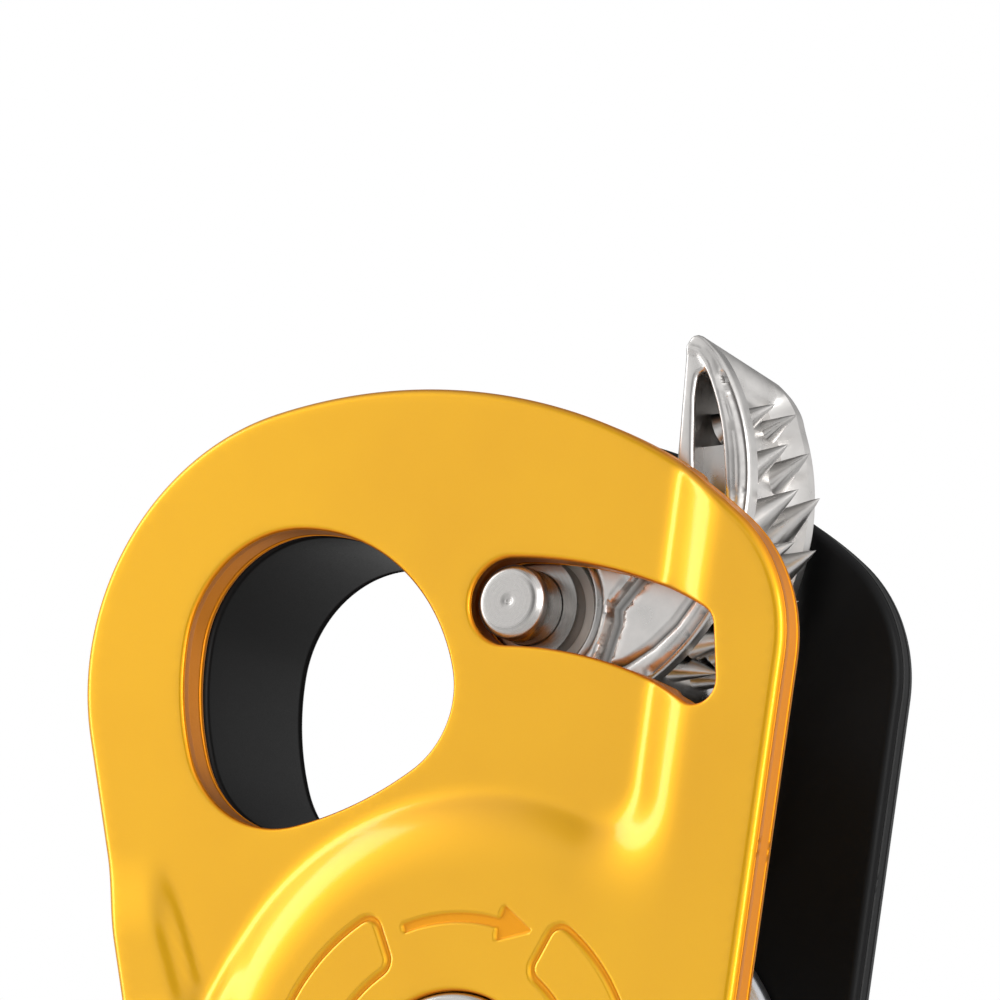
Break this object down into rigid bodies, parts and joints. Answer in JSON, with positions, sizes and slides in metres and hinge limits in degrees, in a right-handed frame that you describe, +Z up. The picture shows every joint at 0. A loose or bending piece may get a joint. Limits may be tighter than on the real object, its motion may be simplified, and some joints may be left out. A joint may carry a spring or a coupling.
{
  "type": "rope clamp pulley ascender",
  "caption": "Compact rope-clamp pulley used as an ascender: two embossed side plates, a grooved sheave on a ball bearing and a toothed cam that swings down on the rope.",
  "frame": {"origin": "centre of the sheave, midway between the side plates", "axes": "+Z up to the attachment hole, +X to the side where the cam swings out, -Y to the moving side plate, +Y to the fixed side plate"},
  "size_m": [0.0534, 0.0195, 0.0727],
  "materials": {
    "black_plate": "black anodised, satin",
    "gold_plate": "gold anodised, satin",
    "sheave_alloy": "turned bright",
    "bearing_steel": "ground and polished",
    "cage_brass": "pressed",
    "seal_rubber": "moulded",
    "turned_steel": "turned, fine rings",
    "washer_plastic": "moulded, slippery",
    "cast_steel": "investment cast, tumbled",
    "spring_steel": "drawn wire"
  },
  "bodies": {
    "frame": {"fixed_side_plate": "black_plate", "sheave_axle": "turned_steel", "slide_washer": "washer_plastic", "front_spacer": "turned_steel", "rear_spacer": "turned_steel", "bearing_inner_ring": "bearing_steel", "cam_axle": "turned_steel", "cam_washer": "washer_plastic", "cam_spring": "spring_steel", "button_retaining_pin": "turned_steel", "button_spring": "spring_steel"},
    "moving_plate": {"moving_side_plate": "gold_plate"},
    "sheave": {"sheave": "sheave_alloy", "bearing_outer_ring": "bearing_steel", "bearing_seal_front": "seal_rubber", "bearing_seal_rear": "seal_rubber"},
    "ball_set": {"bearing_balls": "bearing_steel", "bearing_cage": "cage_brass"},
    "cam": {"cam": "cast_steel", "detent_ball": "bearing_steel", "detent_spring": "spring_steel"},
    "button": {"lock_button": "turned_steel"}
  },
  "joints": [
    {"name": "plate_swing", "type": "hinge", "parent": "frame", "child": "moving_plate", "pos_m": [0, 0, 0], "axis": [0, -1, 0], "range_deg": [0, 24]},
    {"name": "cam_swing", "type": "hinge", "parent": "frame", "child": "cam", "pos_m": [0.0036, 0, 0.0325], "axis": [0, 1, 0], "range_deg": [0, 72]},
    {"name": "sheave_spin", "type": "hinge", "parent": "frame", "child": "sheave", "pos_m": [0, 0, 0], "axis": [0, 1, 0], "continuous": true},
    {"name": "ball_set_spin", "type": "hinge", "parent": "frame", "child": "ball_set", "pos_m": [0, 0, 0], "axis": [0, 1, 0], "continuous": true},
    {"name": "button_press", "type": "slide", "parent": "frame", "child": "button", "axis": [0, 1, 0], "range_m": [0, 0.003], "stiffness_N_per_m": 500, "springref_m": -0.002, "deforming": ["button_spring"]}
  ],
  "couplings": [
    {"joint": "ball_set_spin", "follows": "sheave_spin", "ratio": 0.6111}
  ]
}
